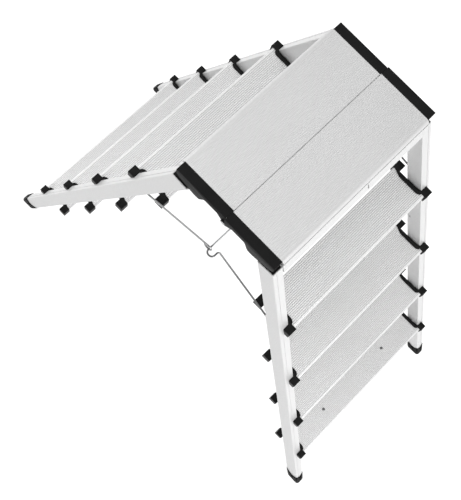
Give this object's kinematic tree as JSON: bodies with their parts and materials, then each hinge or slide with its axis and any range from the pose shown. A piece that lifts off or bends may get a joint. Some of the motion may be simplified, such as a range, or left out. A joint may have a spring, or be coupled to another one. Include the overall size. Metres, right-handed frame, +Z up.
{
  "type": "double-sided step ladder",
  "caption": "Free-standing aluminium step ladder that is climbed from both sides, with a hinged platform that lifts in the middle to fold it flat and wire stays.",
  "frame": {"origin": "on the floor under the middle of the platform, midway between the four feet", "axes": "+X is the walking direction over the ladder, towards section b; +Y is the width, towards the far side; +Z is up"},
  "size_m": [1.2064, 0.5822, 1.2],
  "materials": {
    "aluminium": "brushed",
    "black_plastic": "matte",
    "black_rubber": "matte",
    "steel": "zinc plated",
    "wire": "zinc plated"
  },
  "bodies": {
    "section_a": {"stile_a_near": "aluminium", "stile_a_far": "aluminium", "rail_a": "aluminium", "tread_a1": "aluminium", "tread_a2": "aluminium", "tread_a3": "aluminium", "tread_a4": "aluminium", "end_cap_a1_near": "black_plastic", "end_cap_a1_far": "black_plastic", "end_cap_a2_near": "black_plastic", "end_cap_a2_far": "black_plastic", "end_cap_a3_near": "black_plastic", "end_cap_a3_far": "black_plastic", "end_cap_a4_near": "black_plastic", "end_cap_a4_far": "black_plastic", "tread_rivets_a": "steel", "head_a_near": "black_plastic", "head_a_far": "black_plastic", "foot_a_near": "black_rubber", "foot_a_far": "black_rubber", "bumpers_a": "black_rubber", "stay_clips_a": "black_plastic"},
    "platform_a": {"deck_a": "aluminium", "side_cap_a_near": "black_plastic", "side_cap_a_far": "black_plastic", "hinge_pins_a": "steel", "middle_pins": "steel"},
    "platform_b": {"deck_b": "aluminium", "side_cap_b_near": "black_plastic", "side_cap_b_far": "black_plastic", "hinge_pins_b": "steel"},
    "section_b": {"stile_b_near": "aluminium", "stile_b_far": "aluminium", "rail_b": "aluminium", "tread_b1": "aluminium", "tread_b2": "aluminium", "tread_b3": "aluminium", "tread_b4": "aluminium", "end_cap_b1_near": "black_plastic", "end_cap_b1_far": "black_plastic", "end_cap_b2_near": "black_plastic", "end_cap_b2_far": "black_plastic", "end_cap_b3_near": "black_plastic", "end_cap_b3_far": "black_plastic", "end_cap_b4_near": "black_plastic", "end_cap_b4_far": "black_plastic", "tread_rivets_b": "steel", "tread_screws_b": "steel", "stile_rivet_b": "steel", "head_b_near": "black_plastic", "head_b_far": "black_plastic", "foot_b_near": "black_rubber", "foot_b_far": "black_rubber", "bumpers_b": "black_rubber", "stay_clips_b": "black_plastic"},
    "stay_near": {"side_rod_near": "wire"},
    "stay_far": {"side_rod_far": "wire"},
    "bail": {"bail": "wire"}
  },
  "joints": [
    {"name": "head_hinge_a", "type": "hinge", "parent": "section_a", "child": "platform_a", "pos_m": [-0.09, 0, 1.189], "axis": [0, -1, 0], "range_deg": [0, 37.2]},
    {"name": "platform_fold", "type": "hinge", "parent": "platform_a", "child": "platform_b", "pos_m": [0, 0, 1.177], "axis": [0, 1, 0], "range_deg": [0, 118.05]},
    {"name": "head_hinge_b", "type": "hinge", "parent": "platform_b", "child": "section_b", "pos_m": [0.09, 0, 1.189], "axis": [0, -1, 0], "range_deg": [0, 37.2]},
    {"name": "stay_hinge_near", "type": "hinge", "parent": "section_a", "child": "stay_near", "pos_m": [-0.17547, -0.22013, 0.9564], "axis": [0, -1, 0], "range_deg": [0, 35.8]},
    {"name": "stay_hinge_far", "type": "hinge", "parent": "section_a", "child": "stay_far", "pos_m": [-0.17547, 0.22013, 0.9564], "axis": [0, -1, 0], "range_deg": [0, 35.8]},
    {"name": "bail_hinge", "type": "hinge", "parent": "section_b", "child": "bail", "pos_m": [0.17547, 0, 0.9564], "axis": [0, 1, 0], "range_deg": [0, 35.8]}
  ],
  "couplings": [
    {"joint": "platform_fold", "follows": "head_hinge_a", "ratio": 3.1721},
    {"joint": "head_hinge_b", "follows": "head_hinge_a", "ratio": 1},
    {"joint": "stay_hinge_near", "follows": "head_hinge_a", "ratio": 0.9623},
    {"joint": "stay_hinge_far", "follows": "head_hinge_a", "ratio": 0.9623},
    {"joint": "bail_hinge", "follows": "head_hinge_a", "ratio": 0.9623}
  ]
}
